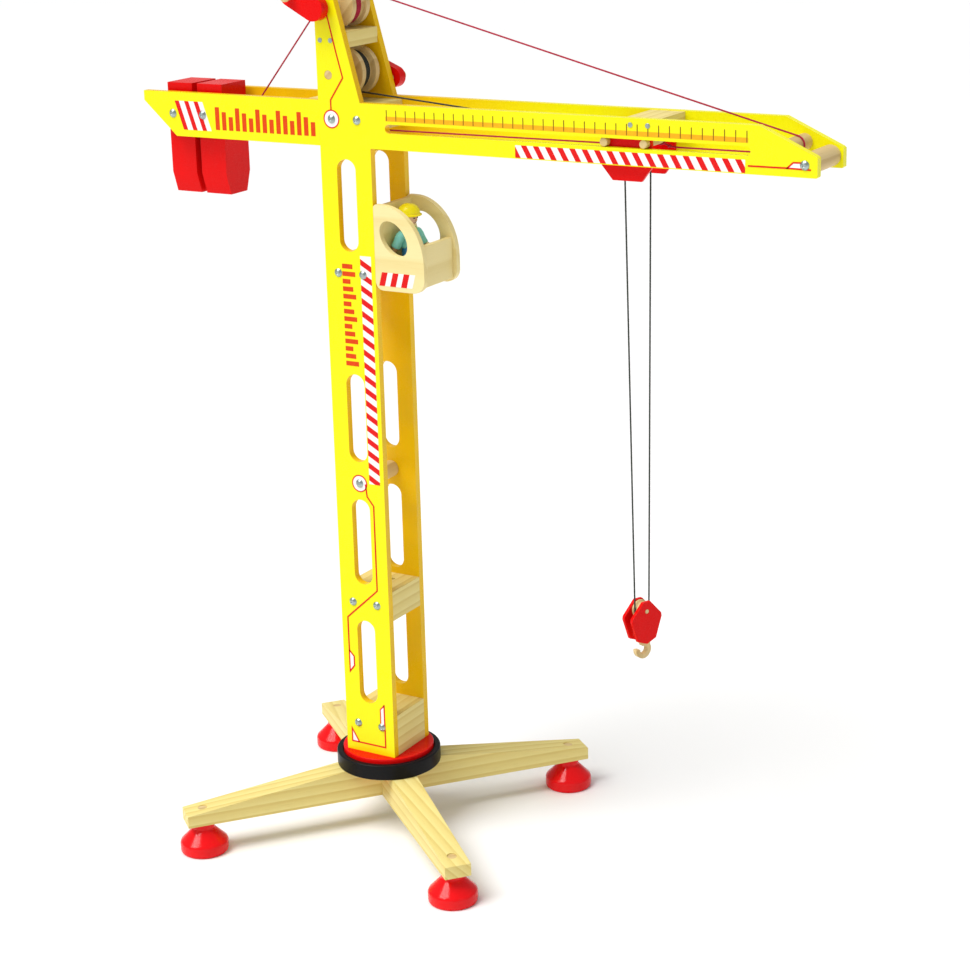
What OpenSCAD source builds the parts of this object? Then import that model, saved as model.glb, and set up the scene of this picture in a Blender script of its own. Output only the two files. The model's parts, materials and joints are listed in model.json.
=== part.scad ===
// Toy tower crane. Millimetres, +Z up, +X along the jib, -Y is the front.
// The origin is on the slewing axis, at floor level.

/* [Base] */
// Length of each crossed base beam
beam_len = 410; // [380:5:440]
// Width of a base beam
beam_w = 25; // [20:1:30]
// Height of the beams' level underside above the floor
beam_bottom = 30; // [28:1:34]
// Height of a beam's top at the middle
beam_top = 61; // [58:1:64]
// Height of a beam's top at its ends
beam_end_top = 42; // [38:1:46]
// Distance of each foot from the slewing axis
foot_reach = 188; // [170:1:192]
// Radius of a foot at the floor
foot_r = 23; // [18:1:26]
// Turn of the base cross away from 45 degrees to the jib
base_turn = 5; // [0:1:10]

/* [Turntable] */
// Outer radius of the fixed ring
ring_r = 50.5; // [48:0.5:54]
// Height of the fixed ring
ring_h = 15; // [12:1:17]
// Radius of the turning disc inside the ring
disc_r = 44; // [38:1:45]

/* [Mast and jib] */
// Depth of the crane over its two panels
frame_d = 62; // [58:1:70]
// Thickness of a panel
panel_t = 7; // [6:0.5:8]
// Width of the mast
mast_w = 54; // [50:1:60]
// Height of the mast's foot on the disc
mast_foot = 80; // [78:1:82]
// Height of the jib's underside
jib_z = 668; // [660:1:680]
// Height of the jib panel itself
jib_h = 40; // [36:1:44]
// Reach of the jib's tip from the slewing axis
jib_reach = 451; // [430:1:480]
// Reach of the counter-jib's tail from the slewing axis
tail_reach = 225; // [215:1:240]
// Top of the head above the floor
head_top = 816; // [812:1:830]
// Width of the long openings in the mast
slot_w = 20; // [14:1:24]
// Length of the long openings in the mast
slot_len = 84; // [70:1:90]

/* [Winches] */
// Radius of the trolley spool's flanges
flange_r = 20.5; // [19:0.5:20.5]
// Radius of the hoist spool's flanges
hoist_flange_r = 22.5; // [20:0.5:23]
// Radius of the core that the cord winds on
core_r = 17; // [14:0.5:18]
// Radius of a winch axle
axle_r = 4; // [3:0.5:5]
// Length of a crank between its centres
crank_len = 26; // [24:1:31]

/* [Trolley and hook] */
// Distance of the trolley's middle from the slewing axis
trolley_x = 277.5; // [200:0.5:300]
// Distance between the trolley's axles
axle_gap = 37; // [30:1:44]
// Height of the sheave's axis above the floor
hook_z = 264; // [230:1:300]
// Turn of the hanging block about its cord
hook_turn = 65; // [0:5:90]
// Radius of the cords
cord_r = 0.75; // [0.5:0.05:1]

/* [Hidden] */
$fn = 64;

face_y = frame_d / 2;
inner_y = face_y - panel_t;
half_w = mast_w / 2;
jib_top = jib_z + jib_h;
fit = 0.05;            // radial clearance of a running fit
gap = 0.3;             // clearance between parts that pass each other
beam_turns = [base_turn - 45, base_turn + 45];
lap_z = (beam_bottom + beam_top) / 2;
disc_z = beam_top + gap;
bolt_r = 2;
foot_dowel_r = 4.5;
bolt_x = 13.4;
pivot_r = 3;

slot_mid = [174, 295, 416, 615];          // heights of the mast's long openings
block_z = [109, 233.5, 552.5, 692.5];     // heights of the blocks' bolt rows
spacer_z = 353;
head_x = 17.5;                            // head's front edge at the jib's top
head_lean = 0.264;                        // how far that edge leans back per height
jib_chamfer = [51, 23];                   // length and drop of the tip's chamfer
tail_chamfer = [36, 32];
track_x = [43, 393];
track_z = 686.5;
track_h = 8;
tip_inner = [417, 688];
tip_outer = [440, 678];
tip_r = 7;
socket = 3;                               // depth of the sockets for the cord's dowels
tail_dowel_at = [-121, 686];
tail_dowel_r = 6;
weight_x = [-192, -157.5];
weight_t = 28.5;
weight_bolt_z = 689;

hoist_axle = [-15, 731.5];
trolley_axle = [-20.5, 790.5];
spool_y = [-9, 19];
flange_t = 6;
cord_y = 5;
crank_y = face_y + 3;
crank_t = 10;
bore_y = crank_y + crank_t - 4;           // where a winch axle ends inside its crank
hub_r = 11;
knob_r = 9.5;
hoist_crank_turn = -20;
trolley_crank_turn = 155;
wind_r = core_r + cord_r + 0.02;

plate_gap = 8;
plate_t = 3.5;
sheave_r = 8.5;
groove_r = 7;
throat_r = 4;
hook_t = 5;
hook_drop = -38;                          // the hook's middle, below the sheave's axis
trolley_z = track_z;
wheel_r = 3.7;
wall_t = 6;
cab_x = half_w;
cab_w = 52;
cab_z = [540, 618];

// A plate in the X-Z plane: depth t, its front face at y
module upright(y, t) translate([0, y + t, 0]) rotate([90, 0, 0]) linear_extrude(t) children();

// A round bar along Y from y0 to y1, at [x, z]
module cross_bar(at, r, y0, y1)
    translate([at[0], y1, at[1]]) rotate([90, 0, 0]) cylinder(r = r, h = y1 - y0);

module long_hole(len, w) {
    for (end = [-1, 1]) translate([end * (len - w) / 2, 0]) circle(d = w);
    square([len - w, w], center = true);
}

// ---- base ----
module beam_blank()
    rotate([90, 0, 0]) translate([0, 0, -beam_w / 2]) linear_extrude(beam_w) polygon([
        [-beam_len / 2, beam_bottom], [beam_len / 2, beam_bottom],
        [beam_len / 2, beam_end_top], [ring_r, beam_top],
        [-ring_r, beam_top], [-beam_len / 2, beam_end_top]]);

module base_beam(turn, notch_z) color("burlywood") rotate([0, 0, turn]) difference() {
    beam_blank();
    translate([-beam_w / 2, -beam_w, notch_z]) cube([beam_w, 2 * beam_w, beam_top]);
    cylinder(r = pivot_r + fit, h = 200);
    for (end = [-1, 1]) translate([end * foot_reach, 0, 0])
        cylinder(r = foot_dowel_r, h = 200);
}
module base_beam_lower() base_beam(beam_turns[0], lap_z);
module base_beam_upper() base_beam(beam_turns[1], lap_z - beam_top);

function foot_turn(i) = base_turn - 45 + 90 * i;
module at_foot(i) rotate([0, 0, foot_turn(i)]) translate([foot_reach, 0, 0]) children();
module foot(i) color("red") at_foot(i) difference() {
    rotate_extrude() polygon([[0, 0], [foot_r - 1.5, 0], [foot_r - 0.3, 1.2], [foot_r, 3],
        [foot_r, 9.5], [foot_r - 0.8, 11.5], [foot_r - 2.5, 13.2], [12, 22], [10.5, 24],
        [10.5, beam_bottom], [0, beam_bottom]]);
    translate([0, 0, foot_dowel_z]) cylinder(r = foot_dowel_r, h = 40);
}
module foot_1() foot(0);
module foot_2() foot(1);
module foot_3() foot(2);
module foot_4() foot(3);

beam_slope = (beam_top - beam_end_top) / (beam_len / 2 - ring_r);
foot_dowel_z = 14;
foot_dowel_top = beam_end_top + (beam_len / 2 - foot_reach - foot_dowel_r) * beam_slope;
module foot_dowels() color("tan") for (i = [0:3]) at_foot(i) translate([0, 0, foot_dowel_z])
    cylinder(r = foot_dowel_r, h = foot_dowel_top - foot_dowel_z);

module turntable_ring() color("black") translate([0, 0, beam_top]) difference() {
    cylinder(r = ring_r, h = ring_h);
    translate([0, 0, -1]) cylinder(r = disc_r + gap, h = ring_h + 2);
}

// ---- slewing pivot ----
module turntable_disc() color("red") translate([0, 0, disc_z]) difference() {
    cylinder(r = disc_r, h = mast_foot - disc_z);
    translate([0, 0, -1]) cylinder(r = pivot_r, h = 40);
    translate([0, 0, mast_foot - disc_z - 4]) cylinder(r = 7, h = 5);
}
module pivot_bolt() color("silver") {
    translate([0, 0, 16]) cylinder(r = pivot_r, h = mast_foot - 20 + 0.5);
    translate([0, 0, mast_foot - 4]) cylinder(r = 6.5, h = 3.5);
}
module pivot_washer() color("silver") translate([0, 0, beam_bottom - gap - 1.5]) difference() {
    cylinder(r = 9, h = 1.5);
    translate([0, 0, -1]) cylinder(r = pivot_r, h = 4);
}
module pivot_nut() color("silver") translate([0, 0, beam_bottom - gap - 7.5]) difference() {
    cylinder(r = 5.8, h = 6, $fn = 6);
    translate([0, 0, -1]) cylinder(r = pivot_r, h = 8);
}

// ---- panels ----
module mast_jib_outline() {
    head_edge = head_x - head_lean * (head_top - 8 - jib_top);
    polygon([[-half_w, mast_foot], [half_w, mast_foot], [half_w, jib_z],
        [jib_reach - 1, jib_z], [jib_reach, jib_z + 1],
        [jib_reach, jib_top - jib_chamfer[1] - 1],
        [jib_reach - 1.5, jib_top - jib_chamfer[1] + 0.5],
        [jib_reach - jib_chamfer[0], jib_top], [head_x, jib_top],
        [head_edge, head_top - 8], [head_edge - 4, head_top - 2], [head_edge - 8, head_top],
        [-half_w + 7, head_top], [-half_w + 2, head_top - 2], [-half_w, head_top - 7]]);
}
module mast_jib_holes() {
    for (z = slot_mid) translate([0, z]) rotate(90) long_hole(slot_len, slot_w);
    translate([(track_x[0] + track_x[1]) / 2, track_z]) long_hole(track_x[1] - track_x[0], track_h);
    for (z = block_z, side = [-1, 1]) translate([side * bolt_x, z]) circle(r = bolt_r);
    translate([0, spacer_z]) circle(r = bolt_r);
    translate(tip_outer) circle(r = bolt_r);
    for (at = [hoist_axle, trolley_axle]) translate(at) circle(r = axle_r + fit);
    for (at = screw_spots) translate(at) circle(r = 1.25);
}
screw_spots = [[-22, 762], [-11, 762], [285, 702.5], [301, 702.5]];
module mast_jib_panel(y) color("yellow") difference() {
    upright(y, panel_t) difference() {
        mast_jib_outline();
        mast_jib_holes();
    }
    cross_bar(tip_inner, tip_r, -inner_y - socket, inner_y + socket);
}
module mast_jib_panel_front() mast_jib_panel(-face_y);
module mast_jib_panel_rear() mast_jib_panel(inner_y);

module tail_panel(y) color("yellow") difference() {
    upright(y, panel_t) difference() {
        polygon([[-half_w, jib_z], [-half_w, jib_top + 1], [-tail_reach, jib_top + 1],
            [-tail_reach, jib_z + tail_chamfer[1]], [-tail_reach + tail_chamfer[0], jib_z]]);
        for (x = weight_x) translate([x, weight_bolt_z]) circle(r = bolt_r);
    }
    cross_bar(tail_dowel_at, tail_dowel_r, -inner_y - socket, inner_y + socket);
}
module tail_panel_front() tail_panel(-face_y);
module tail_panel_rear() tail_panel(inner_y);

// ---- blocks and bars between the panels ----
module block(z0, z1, x0 = -half_w, x1 = half_w)
    translate([x0, -inner_y, z0]) cube([x1 - x0, 2 * inner_y, z1 - z0]);
module bolt_pair(z) for (side = [-1, 1])
    cross_bar([side * bolt_x, z], bolt_r, -face_y - 5, face_y + 5);

module foot_block() color("burlywood") difference() {
    block(mast_foot, 121);
    bolt_pair(block_z[0]);
    translate([0, 0, mast_foot - 1]) cylinder(r = 7, h = 3);
}
module mast_block() color("burlywood") difference() {
    block(218, 247);
    bolt_pair(block_z[1]);
    translate([6.5, 8.5, 235]) cylinder(r = 2.5, h = 20);
}
module mast_spacer() color("tan") difference() {
    cross_bar([0, spacer_z], 8, -inner_y, inner_y);
    cross_bar([0, spacer_z], bolt_r, -face_y, face_y);
}
cab_screw_y = 12;
cab_screw_x = 18;
module cab_screw_shanks(r) for (side = [-1, 1])
    translate([cab_screw_x, side * cab_screw_y, block_z[2]]) rotate([0, 90, 0])
        cylinder(r = r, h = cab_x + wall_t - cab_screw_x);
module cab_block() color("burlywood") difference() {
    block(541, 564);
    bolt_pair(block_z[2]);
    cab_screw_shanks(1.25);
}
module head_block() color("burlywood") difference() {
    block(682, 705, x0 = -60);
    bolt_pair(block_z[3]);
}
module winch_shelf() color("burlywood") difference() {
    block(755.5, 769.5, x1 = 3);
    for (i = [0, 1]) cross_bar(screw_spots[i], 1.25, -face_y, face_y);
}
module jib_spacer() color("burlywood") difference() {
    block(697.5, 707.5, x0 = 277, x1 = 309);
    for (i = [2, 3]) cross_bar(screw_spots[i], 1.25, -face_y, face_y);
}
module tip_dowel_inner() color("tan")
    cross_bar(tip_inner, tip_r, -inner_y - socket, inner_y + socket);
module tip_dowel_outer() color("tan") difference() {
    cross_bar(tip_outer, 9, -inner_y, inner_y);
    cross_bar(tip_outer, bolt_r, -face_y, face_y);
}
module tail_dowel() color("tan")
    cross_bar(tail_dowel_at, tail_dowel_r, -inner_y - socket, inner_y + socket);

// ---- fasteners ----
bolt_spots = concat([for (z = block_z, side = [-1, 1]) [side * bolt_x, z]],
    [[0, spacer_z], tip_outer], [for (x = weight_x) [x, weight_bolt_z]]);
dome_r = 4.2;
dome_h = 2.2;
dome_ball = (dome_r * dome_r + dome_h * dome_h) / (2 * dome_h);
// A domed head standing on the front face, with a shallow driver recess
module dome(at) translate([at[0], -face_y, at[1]]) rotate([90, 0, 0]) difference() {
    intersection() {
        translate([0, 0, dome_h - dome_ball]) sphere(r = dome_ball);
        cylinder(r = dome_r, h = dome_h);
    }
    translate([0, 0, dome_h - 0.8]) cylinder(r = 1.5, h = 2, $fn = 6);
}
module panel_bolts() color("silver") for (at = bolt_spots) {
    dome(at);
    cross_bar(at, bolt_r, -face_y, face_y - 4);
}
module cap_nuts() color("silver") for (at = bolt_spots) {
    rotate([0, 0, 180]) dome([-at[0], at[1]]);
    cross_bar(at, bolt_r, face_y - 4, face_y);
}
module wood_screws() color("silver") for (at = screw_spots, side = [0, 180])
    rotate([0, 0, side]) translate([side == 0 ? at[0] : -at[0], -face_y, at[1]])
        rotate([-90, 0, 0]) {
            cylinder(r = 1.25, h = panel_t + 8);
            translate([0, 0, -0.6]) cylinder(r = 2.2, h = 0.6);
        }

// ---- counterweights ----
module counterweight(x) color("red") difference() {
    translate([x - weight_t / 2, 0, 0]) rotate([90, 0, 90]) linear_extrude(weight_t) polygon([
        [-18.5, 716], [18.5, 716], [18.5, 632], [12.5, 612.5], [-12.5, 612.5], [-18.5, 632]]);
    cross_bar([x, weight_bolt_z], bolt_r, -face_y, face_y);
}
module counterweight_outer() counterweight(weight_x[0]);
module counterweight_inner() counterweight(weight_x[1]);

// ---- cab ----
arch = [44, 54];                          // length and height of the cab's rounded front
module cab_side_outline() difference() {
    hull() {
        translate([cab_x + 8, cab_z[0] + 8]) circle(r = 8);
        translate([cab_x + cab_w - 12, cab_z[0] + 12]) circle(r = 12);
        polygon(concat([[cab_x, cab_z[0] + 8], [cab_x, cab_z[1] - 2], [cab_x + 2, cab_z[1]]],
            [for (a = [90:-5:0]) [cab_x + cab_w - arch[0] * (1 - cos(a)),
                cab_z[1] - arch[1] * (1 - sin(a))]]));
    }
    translate([cab_x + 20.5, 588]) rotate(38) scale([11.8, 17.8]) circle(r = 1);
}
module cab_side(y) color("wheat") upright(y, wall_t) cab_side_outline();
module cab_side_front() cab_side(-face_y);
module cab_side_rear() cab_side(face_y - wall_t);
cab_inner = face_y - wall_t;
module cab_board(x0, x1, z0, z1)
    translate([x0, -cab_inner, z0]) cube([x1 - x0, 2 * cab_inner, z1 - z0]);
module cab_back() color("wheat") difference() {
    cab_board(cab_x, cab_x + wall_t, cab_z[0] + 2, cab_z[1] - 2);
    cab_screw_shanks(1.25);
}
module cab_floor() color("wheat")
    cab_board(cab_x + wall_t, cab_x + 42, cab_z[0] + 2, cab_z[0] + 2 + wall_t);
module cab_front_wall() color("wheat")
    cab_board(cab_x + 42, cab_x + 48, cab_z[0] + 4, 582);
module cab_screws() color("silver") {
    cab_screw_shanks(1.25);
    for (side = [-1, 1]) translate([cab_x + wall_t, side * cab_screw_y, block_z[2]])
        rotate([0, 90, 0]) cylinder(r = 2.2, h = 0.6);
}

// ---- driver ----
driver_x = cab_x + 18;
head_z = 602;
seat_z = cab_z[0] + 2 + wall_t;
module driver_figure() color("turquoise") translate([driver_x, 0, 0]) {
    translate([0, 0, seat_z]) cylinder(r = 9, h = 33);
    translate([0, 0, seat_z + 33]) rotate_extrude() polygon([[0, 0], [9, 0], [6, 9], [0, 9]]);
    translate([0, 0, seat_z + 42]) cylinder(r = 5, h = 6);
    translate([0, 0, head_z]) sphere(r = 8.5);
}
module driver_helmet() color("gold") translate([driver_x, 0, 0]) difference() {
    union() {
        translate([0, 0, head_z + 3]) intersection() {
            sphere(r = 10.5);
            translate([0, 0, 10]) cube([40, 40, 20], center = true);
        }
        translate([1, 0, head_z + 3]) cylinder(r = 11.3, h = 1.4);
    }
    translate([0, 0, head_z]) sphere(r = 8.5);
}

// ---- winches ----
module winch_axle(at, y0, y1) color("tan") cross_bar(at, axle_r, y0, y1);
module spool(at, r) color("tan") difference() {
    union() {
        cross_bar(at, core_r, spool_y[0], spool_y[1]);
        cross_bar(at, r, spool_y[0], spool_y[0] + flange_t);
        cross_bar(at, r, spool_y[1] - flange_t, spool_y[1]);
        cross_bar(at, 7, -inner_y + gap, inner_y - gap);
    }
    cross_bar(at, axle_r, -40, 40);
}
function knob_at(at, turn) = at + crank_len * [cos(turn), sin(turn)];
// A crank beside a panel: the front one when side is -1, the rear one when side is 1
module crank(at, turn, side) color("red") difference() {
    translate([at[0], side > 0 ? crank_y + crank_t : -crank_y, at[1]]) rotate([90, 0, 0])
        linear_extrude(crank_t) hull() {
            circle(r = hub_r);
            rotate(turn) translate([crank_len, 0]) circle(r = knob_r);
        }
    cross_bar(at, axle_r, -bore_y, bore_y);
    cross_bar(knob_at(at, turn), 3, -crank_y - crank_t - 1, crank_y + crank_t + 1);
}
// A short turned handle on a crank, on the same side as the crank
module handle(at, side) color("tan") translate([at[0], side * (crank_y + crank_t + gap), at[1]])
    rotate([-90 * side, 0, 0]) {
        rotate_extrude() polygon([[0, 0], [4, 0], [4, 2.5], [5, 5], [5, 7.5], [3.8, 8.9], [0, 9.3]]);
        translate([0, 0, -crank_t - gap]) cylinder(r = 3, h = crank_t + gap);
    }
module winding(at, turns) for (i = [0:turns - 1])
    translate([at[0], cord_y + (i - (turns - 1) / 2) * 2 * cord_r * 1.04, at[1]])
        rotate([90, 0, 0]) rotate_extrude() translate([wind_r, 0]) circle(r = cord_r, $fn = 16);

module trolley_winch_axle() winch_axle(trolley_axle, -bore_y, face_y);
module trolley_winch_spool() spool(trolley_axle, flange_r);
module trolley_winch_crank() crank(trolley_axle, trolley_crank_turn, -1);
module trolley_winch_handle() handle(knob_at(trolley_axle, trolley_crank_turn), -1);
module trolley_winding() color("crimson") winding(trolley_axle, 4);
module hoist_winch_axle() winch_axle(hoist_axle, -face_y, bore_y);
module hoist_winch_spool() spool(hoist_axle, hoist_flange_r);
module hoist_winch_crank() crank(hoist_axle, hoist_crank_turn, 1);
module hoist_winch_handle() handle(knob_at(hoist_axle, hoist_crank_turn), 1);
module hoist_winding() color("dimgray") winding(hoist_axle, 5);

// ---- trolley ----
wheel_spots = [for (side = [-1, 1]) [trolley_x + side * axle_gap / 2, trolley_z]];
module trolley_plate(y) color("red") upright(y, plate_t) difference() {
    translate([trolley_x, 0]) polygon([[-23.5, 696], [23.5, 696], [23.5, 666.5], [14, 654],
        [-13, 654], [-23.5, 666.5]]);
    for (at = wheel_spots) translate(at) circle(r = wheel_r);
}
module trolley_plate_front() trolley_plate(-inner_y + gap);
module trolley_plate_rear() trolley_plate(inner_y - gap - plate_t);
module trolley_axles() color("tan") for (at = wheel_spots)
    cross_bar(at, wheel_r, -face_y + 1.5, face_y - 1.5);

// ---- hook block: built facing the front, then turned about its cord ----
module hung() translate([trolley_x, 0, hook_z]) rotate([0, 0, hook_turn]) children();
module hook_plate(y) upright(y, plate_t) difference() {
    polygon([[-4, 9], [4, 9], [16.3, -4.5], [16.8, -7.5], [10.2, -27], [0, -31],
        [-10.2, -27], [-16.8, -7.5], [-16.3, -4.5]]);
    circle(r = 2);
}
module hook_plates() color("red") hung() {
    hook_plate(-plate_gap / 2 - plate_t);
    hook_plate(plate_gap / 2);
}
module sheave_pin() color("tan") hung()
    cross_bar([0, 0], 2, -plate_gap / 2 - plate_t, plate_gap / 2 + plate_t);
module sheave() color("tan") hung() rotate([90, 0, 0]) rotate_extrude() polygon(
    [[2 + fit, -3.7], [sheave_r, -3.7], [sheave_r, -2.2], [groove_r, -0.9],
        [groove_r, 0.9], [sheave_r, 2.2], [sheave_r, 3.7], [2 + fit, 3.7]]);
// The hook's ring has its throat open towards the mast side
module hook() color("tan") hung() {
    upright(-hook_t / 2, hook_t) difference() {
        translate([0, hook_drop]) circle(r = throat_r + 4.2);
        translate([0, hook_drop]) circle(r = throat_r);
        translate([0, hook_drop]) polygon([[0, 0], [-6, 18], [-18, 18], [-18, 3]]);
    }
    upright(-plate_gap / 2, plate_gap) polygon([[-4.2, hook_drop + 7], [-5.2, hook_drop + 20],
        [5.2, hook_drop + 20], [6.2, hook_drop + 5]]);
}

// ---- cords ----
function unit(v) = v / norm(v);
function run_dir(p, i) = unit(p[min(i + 1, len(p) - 1)] - p[max(i - 1, 0)]);
function ring_at(c, d, r, up) = let (a = unit(cross(d, up)), b = cross(a, d))
    [for (k = [0:7]) c + r * (cos(45 * k) * a + sin(45 * k) * b)];
// A round cord swept along points, with eight sides
module cord(p, up) {
    n = len(p);
    points = [for (i = [0:n - 1]) each ring_at(p[i], run_dir(p, i), cord_r, up)];
    sides = [for (i = [0:n - 2], k = [0:7]) let (m = (k + 1) % 8)
        [8 * i + k, 8 * i + 8 + k, 8 * i + 8 + m, 8 * i + m]];
    polyhedron(points, concat([[for (k = [0:7]) k]], sides,
        [[for (k = [7:-1:0]) 8 * (n - 1) + k]]), convexity = 6);
}
// Points on an arc about [x, z], at depth y, from angle a0 to a1
function arc(at, r, a0, a1, y, steps = 8) = [for (i = [0:steps])
    let (a = a0 + (a1 - a0) * i / steps) [at[0] + r * cos(a), y, at[1] + r * sin(a)]];
clear_run = 9;         // straight cord left off beside a winding, so the two stay apart
roll_r = wheel_r + cord_r + 0.2;
fall_y = -6;

black_lean = 5;
black_start = hoist_axle + (core_r + cord_r) * [-sin(black_lean), -cos(black_lean)]
    + clear_run * [cos(black_lean), -sin(black_lean)];
module hoist_cord_inner() color("dimgray") cord([[black_start[0], cord_y, black_start[1]],
    [wheel_spots[0][0] - 4, 0, trolley_z + roll_r]], [0, 1, 0]);
module hoist_cord_outer() color("dimgray") cord([[wheel_spots[1][0] + 4, fall_y,
    trolley_z + roll_r], [tip_inner[0] - tip_r - cord_r - 0.2, fall_y, trolley_z + roll_r]], [0, 1, 0]);

turn_r = groove_r + cord_r + 0.3;
// The hook block's cord: down from one roller, round the sheave and up to the other
function hung_point(u, z) = [trolley_x + u * cos(hook_turn), u * sin(hook_turn), hook_z + z];
module hoist_falls() color("dimgray") cord(concat(
    [[wheel_spots[0][0] + roll_r, 0, trolley_z - 5]],
    [for (i = [0:8]) hung_point(-turn_r * cos(180 * i / 8), -turn_r * sin(180 * i / 8))],
    [[wheel_spots[1][0] - roll_r, fall_y, trolley_z - 5]]), [0.9, -0.42, 0.05]);

red_front = 14;        // fall of the trolley cord's front run, in degrees
red_rear = 51.2;
function off_winding(turn, side) = trolley_axle + (core_r + cord_r) * [sin(turn) * side, cos(turn)]
    + clear_run * [cos(turn) * side, -sin(turn)];
tip_turn_r = tip_r + cord_r + 0.1;
tail_turn_r = tail_dowel_r + cord_r + 0.1;
low_run_z = 680;
module trolley_cords() color("crimson") {
    front = off_winding(red_front, 1);
    rear = off_winding(red_rear, -1);
    cord(concat([[front[0], cord_y, front[1]]],
        arc(tip_inner, tip_turn_r, 90 - red_front, -86, cord_y),
        [[wheel_spots[1][0] + 10, cord_y, low_run_z]]), [0, 1, 0]);
    cord(concat([[rear[0], cord_y, rear[1]]],
        arc(tail_dowel_at, tail_turn_r, 90 + red_rear, 270, cord_y),
        [[wheel_spots[0][0] - 10, cord_y, low_run_z]]), [0, 1, 0]);
}

base_beam_lower();
base_beam_upper();
foot_1();
foot_2();
foot_3();
foot_4();
foot_dowels();
turntable_ring();
turntable_disc();
pivot_bolt();
pivot_washer();
pivot_nut();
mast_jib_panel_front();
mast_jib_panel_rear();
tail_panel_front();
tail_panel_rear();
foot_block();
mast_block();
mast_spacer();
cab_block();
head_block();
winch_shelf();
jib_spacer();
tip_dowel_inner();
tip_dowel_outer();
tail_dowel();
panel_bolts();
cap_nuts();
wood_screws();
counterweight_outer();
counterweight_inner();
cab_side_front();
cab_side_rear();
cab_back();
cab_floor();
cab_front_wall();
cab_screws();
driver_figure();
driver_helmet();
trolley_winch_axle();
trolley_winch_spool();
trolley_winch_crank();
trolley_winch_handle();
trolley_winding();
hoist_winch_axle();
hoist_winch_spool();
hoist_winch_crank();
hoist_winch_handle();
hoist_winding();
trolley_plate_front();
trolley_plate_rear();
trolley_axles();
hook_plates();
sheave_pin();
sheave();
hook();
hoist_cord_inner();
hoist_cord_outer();
hoist_falls();
trolley_cords();
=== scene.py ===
"""Looks of the wooden toy tower crane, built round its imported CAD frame. Metres, +Z up, -Y is the front."""
import json
import math

import bmesh
import bpy
from mathutils import Matrix, Vector


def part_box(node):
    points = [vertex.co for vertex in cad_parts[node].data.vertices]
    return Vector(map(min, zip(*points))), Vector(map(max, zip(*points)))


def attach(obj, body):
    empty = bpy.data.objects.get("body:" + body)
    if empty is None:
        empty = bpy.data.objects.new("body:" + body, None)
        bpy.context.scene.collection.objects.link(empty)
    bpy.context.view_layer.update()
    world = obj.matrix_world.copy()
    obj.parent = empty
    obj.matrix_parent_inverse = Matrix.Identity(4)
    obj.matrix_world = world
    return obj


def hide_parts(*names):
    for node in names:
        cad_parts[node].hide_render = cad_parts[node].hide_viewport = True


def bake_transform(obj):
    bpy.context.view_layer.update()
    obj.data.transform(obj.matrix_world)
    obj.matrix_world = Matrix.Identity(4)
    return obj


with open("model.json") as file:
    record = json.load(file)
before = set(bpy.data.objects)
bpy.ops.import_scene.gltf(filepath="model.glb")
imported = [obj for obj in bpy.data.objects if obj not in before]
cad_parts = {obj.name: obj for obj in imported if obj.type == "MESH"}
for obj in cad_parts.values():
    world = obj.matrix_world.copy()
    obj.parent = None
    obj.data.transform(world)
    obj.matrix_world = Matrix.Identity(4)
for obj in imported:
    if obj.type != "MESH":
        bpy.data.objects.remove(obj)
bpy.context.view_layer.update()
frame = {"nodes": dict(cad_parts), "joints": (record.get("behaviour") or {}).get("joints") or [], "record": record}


MM = 0.001
scene = bpy.context.scene
record = frame["record"]
joints = {joint["name"]: joint for joint in frame["joints"]}


def centre(node):
    low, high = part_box(node)
    return (low + high) / 2


# ---------------------------------------------------------------- camera
CAMERA_AT = Vector((1.120, -1.6815, 0.9733))
CAMERA_YAW = math.radians(30.77)
CAMERA_PITCH = math.radians(-16.28)
CAMERA_ROLL = math.radians(-1.53)


def make_camera():
    data = bpy.data.cameras.new("camera")
    data.sensor_width = 36
    data.lens = 82.93
    data.shift_y = -0.0462
    data.clip_end = 60
    forward = Vector((
        -math.sin(CAMERA_YAW) * math.cos(CAMERA_PITCH),
        math.cos(CAMERA_YAW) * math.cos(CAMERA_PITCH),
        math.sin(CAMERA_PITCH)))
    level = Vector((math.cos(CAMERA_YAW), math.sin(CAMERA_YAW), 0))
    above = level.cross(forward)
    right = math.cos(CAMERA_ROLL) * level + math.sin(CAMERA_ROLL) * above
    up = -math.sin(CAMERA_ROLL) * level + math.cos(CAMERA_ROLL) * above
    camera = bpy.data.objects.new("camera", data)
    scene.collection.objects.link(camera)
    camera.matrix_world = Matrix.Translation(CAMERA_AT) @ Matrix(
        (right, up, -forward)).transposed().to_4x4()
    scene.camera = camera


make_camera()


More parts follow.
